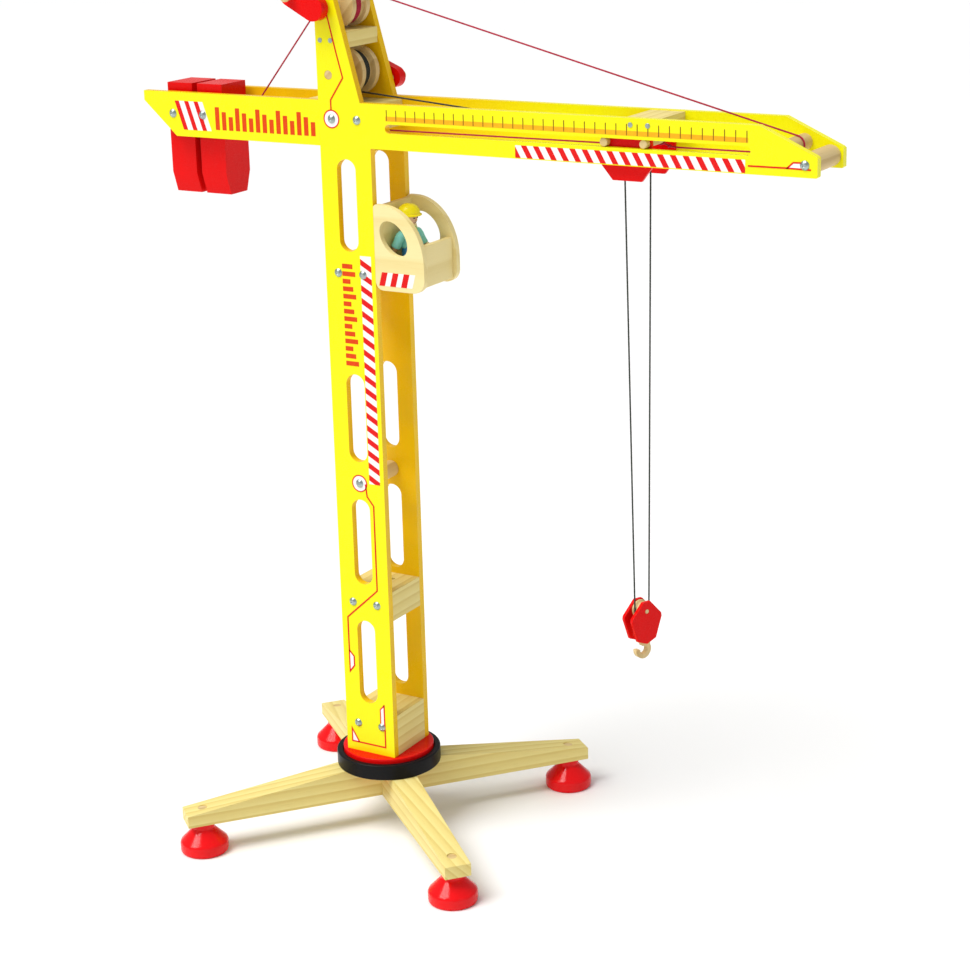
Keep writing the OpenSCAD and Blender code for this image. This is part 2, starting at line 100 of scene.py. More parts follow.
# ---------------------------------------------------------------- materials
class Graph:
    """A short way to write a material's nodes."""

    def __init__(self, name):
        self.material = bpy.data.materials.new(name)
        self.material.use_nodes = True
        self.tree = self.material.node_tree
        self.shader = self.tree.nodes["Principled BSDF"]

    def add(self, kind, inputs=(), **settings):
        node = self.tree.nodes.new("ShaderNode" + kind)
        for key, value in settings.items():
            setattr(node, key, value)
        for key, value in dict(inputs).items():
            if isinstance(value, bpy.types.NodeSocket):
                self.tree.links.new(value, node.inputs[key])
            else:
                node.inputs[key].default_value = value
        return node

    def place(self, scale):
        """Object coordinates, shifted by a different amount on each piece, then scaled."""
        where = self.add("TexCoord").outputs["Object"]
        piece = self.add("ObjectInfo").outputs["Random"]
        shift = self.add("Math", {0: piece, 1: 3.7}, operation="MULTIPLY").outputs[0]
        moved = self.add("VectorMath", {0: where, 1: shift}, operation="ADD").outputs[0]
        return self.add("Mapping", {"Vector": moved, "Scale": scale}).outputs[0]

    def noise(self, scale, detail=3.0, rough=0.55, stretch=(1, 1, 1)):
        return self.add("TexNoise", {
            "Vector": self.place(stretch), "Scale": scale, "Detail": detail,
            "Roughness": rough}).outputs["Fac"]

    def ramp(self, fac, stops, smooth=False):
        node = self.add("ValToRGB", {"Fac": fac})
        node.color_ramp.interpolation = "EASE" if smooth else "LINEAR"
        elements = node.color_ramp.elements
        while len(elements) < len(stops):
            elements.new(0.5)
        for element, (at, colour) in zip(elements, stops):
            element.position = at
            element.color = (*colour, 1) if isinstance(colour, tuple) else (colour,) * 3 + (1,)
        return node.outputs["Color"]

    def mix(self, fac, a, b, blend="MIX"):
        node = self.add("Mix", data_type="RGBA", blend_type=blend)
        for socket, value in zip((node.inputs[0], node.inputs[6], node.inputs[7]), (fac, a, b)):
            if isinstance(value, bpy.types.NodeSocket):
                self.tree.links.new(value, socket)
            else:
                socket.default_value = value if isinstance(value, float) else (*value, 1)
        return node.outputs[2]

    def span(self, fac, low, high, start=0.0, end=1.0):
        return self.add("MapRange", {
            "Value": fac, "From Min": start, "From Max": end,
            "To Min": low, "To Max": high}).outputs[0]

    def math(self, kind, a, b):
        return self.add("Math", {0: a, 1: b}, operation=kind).outputs[0]

    def edges(self, radius):
        """1 along the edges of a piece, 0 on its faces."""
        normal = self.add("NewGeometry").outputs["Normal"]
        soft = self.add("Bevel", {"Radius": radius}, samples=4).outputs[0]
        along = self.add("VectorMath", {0: normal, 1: soft}, operation="DOT_PRODUCT").outputs["Value"]
        return self.span(along, 1.0, 0.0, 0.93, 0.995)

    def bump(self, height, strength, distance):
        node = self.add("Bump", {"Height": height, "Strength": strength, "Distance": distance})
        self.tree.links.new(node.outputs[0], self.shader.inputs["Normal"])

    def finish(self, colour, rough, **constants):
        self.tree.links.new(colour, self.shader.inputs["Base Color"])
        self.tree.links.new(rough, self.shader.inputs["Roughness"])
        for key, value in constants.items():
            self.shader.inputs[key.replace("_", " ")].default_value = value
        return self.material


def darker(colour, by):
    return tuple(c * by for c in colour)


def paint(name, colour, shade, worn, gloss=0.25, coat=0.1, mirror=0.15, outward=0.0, painted_shade_colour=None,
          painted_shade_fade=None):
    """Lacquer on wood: brushed thickness, faint grain beneath, and edges rubbed towards worn.
    Where a piece doesn't face outward along Y, the lacquer goes towards an orange colour: painted shade on
    its edges and inner faces. Given two places along the piece's X, the painted shade weakens between them."""
    g = Graph(name)
    cloud = g.noise(22, 4, 0.6)
    fibre = g.noise(150, 4, 0.6, (9, 1, 1))
    speck = g.noise(900, 2, 0.5)
    base = g.mix(g.span(cloud, 0.0, 0.55, 0.35, 0.75), colour, shade)
    # Painted shade: edges and inner faces, which don't face outward along Y, go towards orange in place of the
    # shade that falls on them, optionally fading out along the piece's X.
    if painted_shade_colour:
        normal = g.add("TexCoord").outputs["Normal"]
        facing = g.math("MULTIPLY", g.add("SeparateXYZ", {0: normal}).outputs["Y"], outward)
        painted_shade_tint = g.mix(g.span(cloud, 0.0, 1.0, 0.35, 0.75), painted_shade_colour, darker(painted_shade_colour, 0.88))
        painted_shade_amount = g.span(facing, 1.0, 0.0, 0.2, 0.8)
        if painted_shade_fade:
            along_x = g.add("SeparateXYZ", {0: g.add("TexCoord").outputs["Object"]}).outputs["X"]
            painted_shade_amount = g.math("MULTIPLY", painted_shade_amount, g.span(along_x, 1.0, 0.0, *painted_shade_fade))
        base = g.mix(painted_shade_amount, base, painted_shade_tint)
    base = g.mix(g.span(fibre, 0.0, 0.35, 0.52, 0.8), base, darker(shade, 0.86))
    rubbed = g.math("MULTIPLY", g.edges(0.0009), g.span(g.noise(170, 3, 0.7), 0.0, 1.0, 0.44, 0.66))
    base = g.mix(rubbed, base, worn)
    rough = g.math("ADD", g.span(cloud, gloss - 0.05, gloss + 0.09, 0.3, 0.7),
                   g.span(speck, -0.03, 0.05, 0.3, 0.7))
    height = g.math("ADD", g.math("MULTIPLY", fibre, 0.6), g.math("MULTIPLY", cloud, 0.8))
    g.bump(g.math("ADD", height, g.math("MULTIPLY", speck, 0.12)), 0.22, 0.0004)
    return g.finish(base, rough, Coat_Weight=coat, Coat_Roughness=0.12, Specular_IOR_Level=mirror)


def wood(name, pale, mid, dark, ring=330.0, warp=2.2, fleck=0.35, gloss=0.42):
    """Plain wood, its grain along the piece's own X."""
    g = Graph(name)
    bent = g.noise(12, 2, 0.5, (0.1, 1, 1))
    where = g.place((0.025, 1, 1))
    pushed = g.add("VectorMath", {0: where, 1: g.math("MULTIPLY", bent, 0.012 * warp)},
                   operation="ADD").outputs[0]
    rings = g.add("TexWave", {
        "Vector": pushed, "Scale": ring / 20, "Distortion": 0.6, "Detail": 2.0,
        "Detail Scale": 1.5}, wave_type="RINGS", rings_direction="X",
        wave_profile="SAW").outputs["Fac"]
    fibre = g.noise(420, 4, 0.65, (0.05, 1, 1))
    pore = g.noise(1500, 2, 0.6, (0.06, 1, 1))
    broad = g.noise(12, 3, 0.6, (0.4, 1, 1))
    base = g.ramp(rings, [(0.0, pale), (0.55, mid), (0.9, dark), (1.0, mid)], True)
    base = g.mix(g.span(fibre, 0.0, 0.55, 0.42, 0.72), base, mid)
    base = g.mix(g.span(broad, 0.0, 0.5, 0.4, 0.75), base, darker(mid, 0.93))
    base = g.mix(g.span(pore, 0.0, fleck, 0.6, 0.78), base, darker(dark, 0.72))
    base = g.mix(g.span(g.edges(0.0008), 0.0, 0.3), base, darker(mid, 0.82))
    rough = g.math("ADD", g.span(fibre, gloss - 0.06, gloss + 0.1, 0.3, 0.7), g.span(pore, 0.0, 0.08))
    height = g.math("ADD", g.math("MULTIPLY", rings, 0.35), g.math("MULTIPLY", fibre, 0.9))
    g.bump(g.math("SUBTRACT", height, g.math("MULTIPLY", pore, 0.25)), 0.3, 0.0003)
    return g.finish(base, rough, Coat_Weight=0.03, Coat_Roughness=0.3, Specular_IOR_Level=0.2)


def plated(name, colour):
    """Bright zinc plating: a little cloudy, with fine drawn scratches."""
    g = Graph(name)
    cloud = g.noise(260, 3, 0.6)
    scratch = g.noise(2400, 2, 0.5, (1, 0.1, 1))
    base = g.mix(g.span(cloud, 0.0, 1.0, 0.35, 0.7), colour, darker(colour, 0.72))
    base = g.mix(g.span(g.edges(0.0003), 0.0, 0.4), base, darker(colour, 1.15))
    rough = g.math("ADD", g.span(cloud, 0.2, 0.36, 0.3, 0.7), g.span(scratch, 0.0, 0.1))
    g.bump(g.math("ADD", g.math("MULTIPLY", scratch, 0.4), cloud), 0.2, 0.00008)
    return g.finish(base, rough, Metallic=1.0)


def yarn(name, colour, light):
    """Twisted cord: fine fibres lighter than the yarn between them."""
    g = Graph(name)
    fluff = g.noise(2600, 3, 0.7)
    worn = g.noise(60, 3, 0.6)
    base = g.mix(g.span(fluff, 0.0, 0.8, 0.4, 0.75), colour, light)
    base = g.mix(g.span(worn, 0.0, 0.45, 0.45, 0.8), base, darker(colour, 0.6))
    g.bump(fluff, 0.5, 0.0002)
    return g.finish(base, g.span(fluff, 0.68, 0.9), Sheen_Weight=0.12, Sheen_Roughness=0.5,
                    Specular_IOR_Level=0.2)


def ink(name, colour, thin):
    """Screen-printed ink: slightly uneven cover over the lacquer."""
    g = Graph(name)
    cover = g.noise(650, 3, 0.65)
    cloud = g.noise(45, 3, 0.6)
    base = g.mix(g.span(cover, 0.0, 0.6, 0.5, 0.85), colour, thin)
    base = g.mix(g.span(cloud, 0.0, 0.4, 0.4, 0.8), base, darker(colour, 0.88))
    g.bump(cover, 0.25, 0.00006)
    return g.finish(base, g.span(cloud, 0.34, 0.5), Coat_Weight=0.05, Coat_Roughness=0.2,
                    Specular_IOR_Level=0.12)


# Yellow lacquer with painted shade: its edges and inner faces go orange in place of the shade on them.
def yellow(name, outward, painted_shade_fade=None):
    return paint(name, (0.90, 0.87, 0.004), (0.89, 0.80, 0.004), (0.93, 0.62, 0.02),
                 outward=outward, painted_shade_colour=(0.92, 0.57, 0.004), painted_shade_fade=painted_shade_fade)


# Along the jib panel's own X, the painted shade on its inner faces and edges is full at the mast and fades out
# along the jib, which stays bright.
JIB_PAINTED_SHADE_FADE = (-0.17, -0.02)
YELLOW = {"front": yellow("yellow_lacquer_painted_shade_front", -1.0, JIB_PAINTED_SHADE_FADE),
          "rear": yellow("yellow_lacquer_painted_shade_rear", 1.0, JIB_PAINTED_SHADE_FADE)}
TAIL_YELLOW = {"front": yellow("yellow_tail_painted_shade_front", -1.0), "rear": yellow("yellow_tail_painted_shade_rear", 1.0)}
RED = paint("red_lacquer", (0.80, 0.003, 0.003), (0.70, 0.002, 0.002), (0.50, 0.015, 0.008),
            0.24, 0.06, 0.08)
FOOT_RED = paint("foot_lacquer", (0.82, 0.005, 0.008), (0.72, 0.004, 0.006), (0.55, 0.02, 0.01),
                 0.14, 0.15, 0.14)
BLACK = paint("black_lacquer", (0.009, 0.009, 0.010), (0.005, 0.005, 0.005), (0.04, 0.035, 0.03),
              0.34, 0.03, 0.08)
HELMET = paint("helmet_lacquer", (0.94, 0.84, 0.01), (0.92, 0.76, 0.01), (0.95, 0.66, 0.05), 0.2, 0.2)
JACKET = paint("jacket_paint", (0.32, 0.87, 0.86), (0.24, 0.78, 0.79), (0.50, 0.86, 0.80), 0.42, 0.1)
TROUSERS = paint("trouser_paint", (0.06, 0.34, 0.80), (0.04, 0.26, 0.68), (0.25, 0.45, 0.75), 0.42, 0.1)
SCARF = paint("scarf_paint", (0.20, 0.60, 0.16), (0.14, 0.46, 0.12), (0.4, 0.66, 0.3), 0.42, 0.1)
SKIN = paint("figure_skin", (0.80, 0.52, 0.34), (0.74, 0.45, 0.28), (0.78, 0.56, 0.40), 0.45, 0.1)
BOOTS = paint("boot_paint", (0.05, 0.035, 0.03), (0.03, 0.02, 0.02), (0.2, 0.14, 0.1), 0.4, 0.15)
PINE = wood("pine", (0.85, 0.73, 0.29), (0.79, 0.65, 0.23), (0.70, 0.54, 0.16), 900, 0.35)
BEECH = wood("beech", (0.75, 0.58, 0.29), (0.68, 0.50, 0.23), (0.55, 0.38, 0.15), 420, 1.0, 0.45, 0.46)
PLY = wood("pale_ply", (0.90, 0.77, 0.38), (0.88, 0.74, 0.35), (0.80, 0.65, 0.27), 260, 1.0, 0.2, 0.4)
ZINC = plated("zinc_plating", (0.44, 0.52, 0.50))
RED_CORD = yarn("red_cord", (0.42, 0.008, 0.035), (0.62, 0.04, 0.10))
BLACK_CORD = yarn("black_cord", (0.022, 0.026, 0.022), (0.10, 0.11, 0.09))
RED_INK = ink("red_ink", (0.74, 0.006, 0.008), (0.80, 0.06, 0.02))
WHITE_INK = ink("white_ink", (0.90, 0.90, 0.88), (0.82, 0.80, 0.72))
ORANGE_INK = ink("orange_ink", (0.72, 0.055, 0.004), (0.80, 0.15, 0.01))
BAND_INK = ink("band_ink", (0.86, 0.42, 0.01), (0.90, 0.60, 0.02))
BROWN_INK = ink("brown_ink", (0.22, 0.09, 0.01), (0.40, 0.20, 0.02))


# ---------------------------------------------------------------- making pieces
def shade(mesh, sharp=35):
    for face in mesh.polygons:
        face.use_smooth = True
    mesh.set_sharp_from_angle(angle=math.radians(sharp))


def put(name, mesh, body, material, nodes=(), at=Matrix.Identity(4)):
    """Adds a finished mesh as a piece that rides on a body."""
    piece = bpy.data.objects.new(name, mesh)
    scene.collection.objects.link(piece)
    mesh.materials.clear()
    mesh.materials.append(material)
    piece.matrix_world = at
    weighted = piece.modifiers.new("normals", "WEIGHTED_NORMAL")
    weighted.keep_sharp = True
    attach(piece, body)
    if nodes:
        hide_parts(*nodes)
    return piece


def to_mesh(name, bm, sharp=35):
    bmesh.ops.recalc_face_normals(bm, faces=bm.faces)
    mesh = bpy.data.meshes.new(name)
    bm.to_mesh(mesh)
    bm.free()
    shade(mesh, sharp)
    return mesh


BODY_OF = {node: body for body, nodes in record["behaviour"]["bodies"].items() for node in nodes}


def softened(node, material, radius, along=(1, 0, 0), steps=3):
    """A CAD node's shape with its edges rounded over, standing for that node. The grain runs along."""
    bm = bmesh.new()
    bm.from_mesh(frame["nodes"][node].data)
    bmesh.ops.remove_doubles(bm, verts=bm.verts, dist=2e-6)
    bmesh.ops.dissolve_limit(bm, angle_limit=math.radians(0.8), verts=bm.verts, edges=bm.edges)
    keen = [e for e in bm.edges if len(e.link_faces) == 2 and e.calc_face_angle(0) > math.radians(28)]
    bmesh.ops.bevel(bm, geom=keen, offset=radius, segments=steps, profile=0.5,
                    affect="EDGES", clamp_overlap=True)
    direction = Vector(along).normalized()
    turn = direction.to_track_quat("X", "Z").to_matrix().to_4x4()
    at = Matrix.Translation(centre(node)) @ turn
    bmesh.ops.transform(bm, matrix=at.inverted(), verts=bm.verts)
    return put(node + "_shaped", to_mesh(node, bm, 50), BODY_OF[node],
               material, [node], at)


BEAM_TURN = {"base_beam_lower": -40, "base_beam_upper": 50}
for beam, degrees in BEAM_TURN.items():
    angle = math.radians(degrees)
    softened(beam, PINE, 1.6 * MM, (math.cos(angle), math.sin(angle), 0))
for side in ("front", "rear"):
    softened("mast_jib_panel_" + side, YELLOW[side], 1.0 * MM)
    softened("tail_panel_" + side, TAIL_YELLOW[side], 1.0 * MM)
    softened("trolley_plate_" + side, RED, 0.8 * MM)
    softened("cab_side_" + side, PLY, 1.0 * MM)
for number in range(1, 5):
    softened(f"foot_{number}", FOOT_RED, 0.5 * MM, (0, 0, 1))
for node in ("foot_block", "mast_block", "cab_block", "head_block", "winch_shelf", "jib_spacer"):
    softened(node, PINE, 0.8 * MM, (0, 1, 0))
softened("foot_dowels", BEECH, 0.25 * MM, (0, 0, 1))
for node in ("mast_spacer", "tip_dowel_inner", "tip_dowel_outer", "tail_dowel", "trolley_axles",
             "trolley_winch_axle", "hoist_winch_axle", "trolley_winch_spool", "hoist_winch_spool"):
    softened(node, BEECH, 0.6 * MM, (0, 1, 0))
for node in ("trolley_winch_handle", "hoist_winch_handle"):
    softened(node, BEECH, 0.5 * MM, (0, 1, 0))
for node in ("trolley_winch_crank", "hoist_winch_crank"):
    softened(node, RED, 1.4 * MM)
for node in ("counterweight_outer", "counterweight_inner"):
    softened(node, RED, 1.6 * MM, (0, 0, 1), 4)
for node in ("cab_back", "cab_floor", "cab_front_wall"):
    softened(node, PLY, 1.0 * MM, (0, 1, 0))
softened("turntable_ring", BLACK, 1.4 * MM)
softened("turntable_disc", RED, 0.8 * MM)
softened("hook_plates", RED, 0.7 * MM)
softened("sheave", BEECH, 0.3 * MM)
softened("sheave_pin", BEECH, 0.3 * MM, (0.906, -0.423, 0))
softened("hook", BEECH, 0.9 * MM, (0, 0, 1))
for node in ("pivot_bolt", "pivot_washer", "pivot_nut", "panel_bolts", "cap_nuts",
             "wood_screws", "cab_screws"):
    softened(node, ZINC, 0.25 * MM, (0, 1, 0), 2)


# ---------------------------------------------------------------- printed decals
INK_T = 0.12 * MM
FRONT_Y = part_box("mast_jib_panel_front")[0].y
REAR_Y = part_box("mast_jib_panel_rear")[1].y


def decal(name, shapes, material, layer=0, y=FRONT_Y, body="tower"):
    """Flat closed prints standing on the face at y. Each shape is a list of (x, z) corners in mm."""
    outward = -1 if y < 0 else 1
    level = y + outward * layer * INK_T
    bm = bmesh.new()
    for shape in shapes:
        bm.faces.new([bm.verts.new((x * MM, level - outward * 0.05 * MM, z * MM)) for x, z in shape])
    bmesh.ops.remove_doubles(bm, verts=bm.verts, dist=1e-7)
    grown = bmesh.ops.extrude_face_region(bm, geom=bm.faces[:])
    bmesh.ops.translate(bm, vec=(0, outward * (INK_T + 0.05 * MM), 0),
                        verts=[v for v in grown["geom"] if isinstance(v, bmesh.types.BMVert)])
    return put(name, to_mesh(name, bm, 30), body, material)


def slanted(x0, x1, z0, z1, pitch, width, lean, start=0.0):
    """Slanted bars across a band, cut off square at its ends. lean is how far a bar's foot is shifted."""
    bars = []
    left = x0 + start - abs(lean)
    while left < x1:
        shape = clip([(left, z1), (left + width, z1), (left + width + lean, z0), (left + lean, z0)], x0, x1)
        if len(shape) > 2:
            bars.append(shape)
        left += pitch
    return bars


def clip(shape, low, high):
    """The part of a shape whose x lies between low and high."""
    for limit, keep in ((low, 1), (high, -1)):
        kept = []
        for (xa, za), (xb, zb) in zip(shape, shape[1:] + shape[:1]):
            inside_a, inside_b = keep * (xa - limit) >= 0, keep * (xb - limit) >= 0
            if inside_a:
                kept.append((xa, za))
            if inside_a != inside_b:
                kept.append((limit, za + (zb - za) * (limit - xa) / (xb - xa)))
        shape = kept
    return shape


def oblong(x0, x1, z0, z1):
    return [(x0, z0), (x1, z0), (x1, z1), (x0, z1)]


def flip(shapes):
    """Swaps x and z, for bands that run up the mast."""
    return [[(z, x) for x, z in shape] for shape in shapes]


def stroke(points, width):
    """A line of even width through the points, mitred at its corners."""
    line = [Vector(p) for p in points]
    sides = []
    for i, at in enumerate(line):
        before = (at - line[i - 1]).normalized() if i else (line[1] - at).normalized()
        after = (line[i + 1] - at).normalized() if i + 1 < len(line) else before
        across = Vector((-(before + after).y, (before + after).x)).normalized()
        reach = width / 2 / max(0.3, across.dot(Vector((-before.y, before.x))))
        sides.append((at + across * reach, at - across * reach))
    return [[tuple(a[0]), tuple(b[0]), tuple(b[1]), tuple(a[1])] for a, b in zip(sides, sides[1:])]


def ring_of(x, z, inner, outer, steps=40):
    turn = [2 * math.pi * i / steps for i in range(steps + 1)]
    at = [(math.cos(a), math.sin(a)) for a in turn]
    return [[(x + inner * c, z + inner * s), (x + outer * c, z + outer * s),
             (x + outer * d, z + outer * t), (x + inner * d, z + inner * t)]
            for (c, s), (d, t) in zip(at, at[1:])]


# places on the panels in mm, as decal() takes them
BOLT_X = 13.4
HEAD_BOLT_Z = 692.5
SPACER_Z = 353.0
BOLT_CLEAR = 4.6           # radius kept free round a bolt's head
DISC_R = 7.3
RING_R = 8.4
TICK_PITCH = 9.85
TICK_FIRST = 44.85
TICK_WIDTH = 0.7
TICKS = 36
JIB_BAND = (175, 388.5, 668.9, 679.6)
MAST_BAND = (354, 570, 11, 22.7)


def plain_marks(x0, x1, z0, z1, count):
    """A row of plain bars of three heights that repeat, standing where lettering would be."""
    pitch = (x1 - x0) / count
    tall = z1 - z0
    marks = []
    for i in range(count):
        left = x0 + pitch * i
        if i % 3 == 0:
            marks.append(oblong(left, left + pitch * 0.62, z0, z1))
        elif i % 3 == 1:
            marks.append(oblong(left, left + pitch * 0.62, z0, z0 + tall * 0.8))
        else:
            marks.append(oblong(left, left + pitch * 0.62, z0, z0 + tall * 0.6))
    return marks


def print_panel(side, y):
    """Everything printed on one yellow face, the same on the front and the rear."""
    def lay(name, shapes, material, layer=0):
        return decal(f"print_{name}_{side}", shapes, material, layer=layer, y=y)

    ticks = [TICK_FIRST + TICK_PITCH * i for i in range(TICKS)]
    lay("ruler_ticks", [oblong(x, x + TICK_WIDTH, 693.7, 703.2) for x in ticks], BROWN_INK, 1)
    lay("ruler_band", [oblong(44.0, 391.0, 693.4, 697.5)], BAND_INK)
    lay("jib_white", [oblong(*JIB_BAND)], WHITE_INK)
    lay("jib_stripes", slanted(*JIB_BAND, 11.7, 5.4, 6.0), RED_INK, 1)
    lay("mast_white", flip([oblong(*MAST_BAND)]), WHITE_INK)
    lay("mast_stripes", flip(slanted(*MAST_BAND, 12.0, 5.6, 6.5, 3.6)[:-1]), RED_INK, 1)
    lay("tail_white", [[(-180, 674.5), (-148, 674.5), (-157, 701), (-189, 701)]], WHITE_INK)
    lay("tail_stripes", [[(x + 9, 674.5), (x + 13.8, 674.5), (x + 4.8, 701), (x, 701)]
                         for x in (-189, -178, -167)], RED_INK, 1)
    lay("tail_marks", plain_marks(-143, -28.5, 676, 697, 15), ORANGE_INK)
    lay("mast_marks", flip(plain_marks(466, 564, -9, 5, 14)), ORANGE_INK)
    lines = stroke([(-BOLT_X, HEAD_BOLT_Z + 8), (-BOLT_X, 709.5), (0.5, 729.5), (-5.6, 752),
                    (-16.5, 796)], 1.3)
    lines += stroke([(6.4, SPACER_Z), (7.8, 341), (14.6, 332.5), (14.6, 248.5), (-20.2, 217),
                     (-20.2, 183), (-15, 177.5), (-15, 168), (-20.2, 161.5), (-20.2, 183)], 1.4)
    lines += stroke([(17, 133), (17, 88.8), (-21, 88.8), (-21, 102), (-13, 88.8)], 1.4)
    lines += stroke([(17, 132), (12.5, 127.5), (12.5, 113), (17, 108)], 1.1)
    lines += stroke([(391, 674.8), (425, 675), (430.2, 679.7), (437, 679.9)], 1.3)
    lines += stroke([(424.5, 675), (445.4, 674.6)], 1.3)
    lay("lines", lines, RED_INK, 1)
    lay("fills", [[(-20.2, 183), (-20.2, 161.5), (-15, 168), (-15, 177.5)],
                  [(-21, 102), (-21, 88.8), (-13, 88.8)],
                  [(12.5, 113), (17, 108), (17, 132), (12.5, 127.5)],
                  [(425, 675), (437, 674.8), (437, 679.9), (430.2, 679.7)]], WHITE_INK)
    for name, x, z in (("head", -BOLT_X, HEAD_BOLT_Z), ("spacer", 0, SPACER_Z)):
        lay(name + "_disc", ring_of(x, z, BOLT_CLEAR - 1.0, DISC_R), WHITE_INK)
        lay(name + "_ring", ring_of(x, z, DISC_R, RING_R), RED_INK, 1)


for side, y in (("front", FRONT_Y), ("rear", REAR_Y)):
    print_panel(side, y)
    cab_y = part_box("cab_side_" + side)[0 if side == "front" else 1].y
    decal("print_cab_white_" + side, [[(30.8, 544.5), (66, 544.5), (69.4, 557), (34.2, 557)]], WHITE_INK,
          0, cab_y)
    decal("print_cab_stripes_" + side,
          [[(x, 544.5), (x + 6.0, 544.5), (x + 9.4, 557), (x + 3.4, 557)] for x in (30.8, 42.4, 54.0)],
          RED_INK, 1, cab_y)


# ---------------------------------------------------------------- cords
CORD_R = 0.85 * MM
CORD_Y = 5 * MM
FALL_Y = -6 * MM
hoist_axle = Vector(joints["hoist_winch_spin"]["pos_m"])
trolley_axle = Vector(joints["trolley_winch_spin"]["pos_m"])
sheave_at = Vector(joints["sheave_spin"]["pos_m"])
WIND_R = 17.77 * MM
WHEEL_R = 3.7 * MM
ROLLER_R = WHEEL_R + CORD_R
TIP_IN = centre("tip_dowel_inner")
TIP_R = 7 * MM + CORD_R
TAIL = centre("tail_dowel")
TAIL_R = 6 * MM + CORD_R
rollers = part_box("trolley_axles")
INNER_ROLLER = Vector((rollers[0].x + WHEEL_R, 0, (rollers[0].z + rollers[1].z) / 2))
OUTER_ROLLER = Vector((rollers[1].x - WHEEL_R, 0, INNER_ROLLER.z))


def arc(at, radius, start, end, y, steps=24, rise=0.0):
    """Points round a bar that lies along Y, from one angle to another in degrees."""
    points = []
    for i in range(steps + 1):
        a = math.radians(start + (end - start) * i / steps)
        points.append(Vector((at.x + radius * math.cos(a), y + rise * i / steps,
                              at.z + radius * math.sin(a))))
    return points


def along(points, step):
    """The same line with points every step, keeping its ends."""
    lengths = [0.0]
    for a, b in zip(points, points[1:]):
        lengths.append(lengths[-1] + (b - a).length)
    count = max(2, round(lengths[-1] / step))
    out, i = [], 0
    for k in range(count + 1):
        at = lengths[-1] * k / count
        while i < len(points) - 2 and lengths[i + 1] < at:
            i += 1
        span = max(lengths[i + 1] - lengths[i], 1e-9)
        out.append(points[i].lerp(points[i + 1], (at - lengths[i]) / span))
    return out


def twisted(bm, points, radius=CORD_R, strands=3, pitch=4.2 * MM, step=0.8 * MM, sides=9):
    """A cord of strands laid round each other, swept along the points and closed at both ends."""
    line = along(points, step)
    across = Vector((0, 1, 0))
    rings, travelled = [], 0.0
    for i, at in enumerate(line):
        ahead = (line[min(i + 1, len(line) - 1)] - line[max(i - 1, 0)]).normalized()
        across = (across - ahead * across.dot(ahead)).normalized()
        other = ahead.cross(across)
        travelled += (at - line[i - 1]).length if i else 0.0
        roll = 2 * math.pi * travelled / pitch
        ring = []
        for k in range(sides):
            a = 2 * math.pi * k / sides
            bulge = radius * (0.9 + 0.1 * math.cos(strands * a))
            ring.append(bm.verts.new(
                at + bulge * (math.cos(a + roll) * across + math.sin(a + roll) * other)))
        rings.append(ring)
    for a, b in zip(rings, rings[1:]):
        for k in range(sides):
            m = (k + 1) % sides
            bm.faces.new((a[k], a[m], b[m], b[k]))
    bm.faces.new(rings[0][::-1])
    bm.faces.new(rings[-1])


def knot_points(at, size, turn=0.0):
    """A trefoil about a point, for a tied end."""
    points = []
    for i in range(49):
        t = 2 * math.pi * i / 48
        p = Vector((math.sin(t) + 2 * math.sin(2 * t), math.cos(t) - 2 * math.cos(2 * t),
                    -1.3 * math.sin(3 * t)))
        points.append(at + Matrix.Rotation(turn, 3, "X") @ (p * size / 3))
    return points


def cord_piece(name, lines, material, nodes=(), body=None):
    bm = bmesh.new()
    for line in lines:
        twisted(bm, line)
    mesh = to_mesh(name, bm, 60)
    if body:
        return put(name, mesh, body, material, nodes)
    piece = bpy.data.objects.new(name, mesh)
    scene.collection.objects.link(piece)
    mesh.materials.append(material)
    if nodes:
        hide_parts(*nodes)
    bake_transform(piece)
    return piece


def coil(at, turns, start):
    """A helix round an axle that lies along Y, centred on the cords' plane."""
    pitch = 2.1 * CORD_R
    points = []
    for i in range(48 * turns + 1):
        a = math.radians(start) + 2 * math.pi * i / 48
        y = CORD_Y + pitch * (i / 48 - turns / 2)
        points.append(Vector((at.x + WIND_R * math.cos(a), y, at.z + WIND_R * math.sin(a))))
    return points


BLACK_LEAN = math.radians(5)
RED_FRONT = math.radians(14)
RED_REAR = math.radians(51.2)
black_off = hoist_axle + WIND_R * Vector((-math.sin(BLACK_LEAN), 0, -math.cos(BLACK_LEAN)))
red_front_off = trolley_axle + WIND_R * Vector((math.sin(RED_FRONT), 0, math.cos(RED_FRONT)))
red_rear_off = trolley_axle + WIND_R * Vector((-math.sin(RED_REAR), 0, math.cos(RED_REAR)))
for off in (black_off, red_front_off, red_rear_off):
    off.y = CORD_Y

cord_piece("hoist_cord_coil", [coil(hoist_axle, 5, 90)], BLACK_CORD,
           ["hoist_winding"], "hoist_winch")
cord_piece("trolley_cord_coil", [coil(trolley_axle, 4, 270)], RED_CORD,
           ["trolley_winding"], "trolley_winch")

fall_top = INNER_ROLLER.z - 5 * MM
inner_run = [black_off] + arc(INNER_ROLLER, ROLLER_R, 95, 0, 0.0)
inner_run += [Vector((INNER_ROLLER.x + ROLLER_R, 0, fall_top))]
cord_piece("hoist_cord_to_trolley", [inner_run], BLACK_CORD, ["hoist_cord_inner"])
outer_run = [Vector((OUTER_ROLLER.x - ROLLER_R, FALL_Y, fall_top))]
outer_run += arc(OUTER_ROLLER, ROLLER_R, 180, 88, FALL_Y)
outer_run += arc(TIP_IN, TIP_R, 155, 320, FALL_Y)
cord_piece("hoist_cord_to_tip",
           [outer_run, knot_points(TIP_IN + Vector((5.6 * MM, FALL_Y, -6.3 * MM)), 1.7 * MM)],
           BLACK_CORD, ["hoist_cord_outer"])

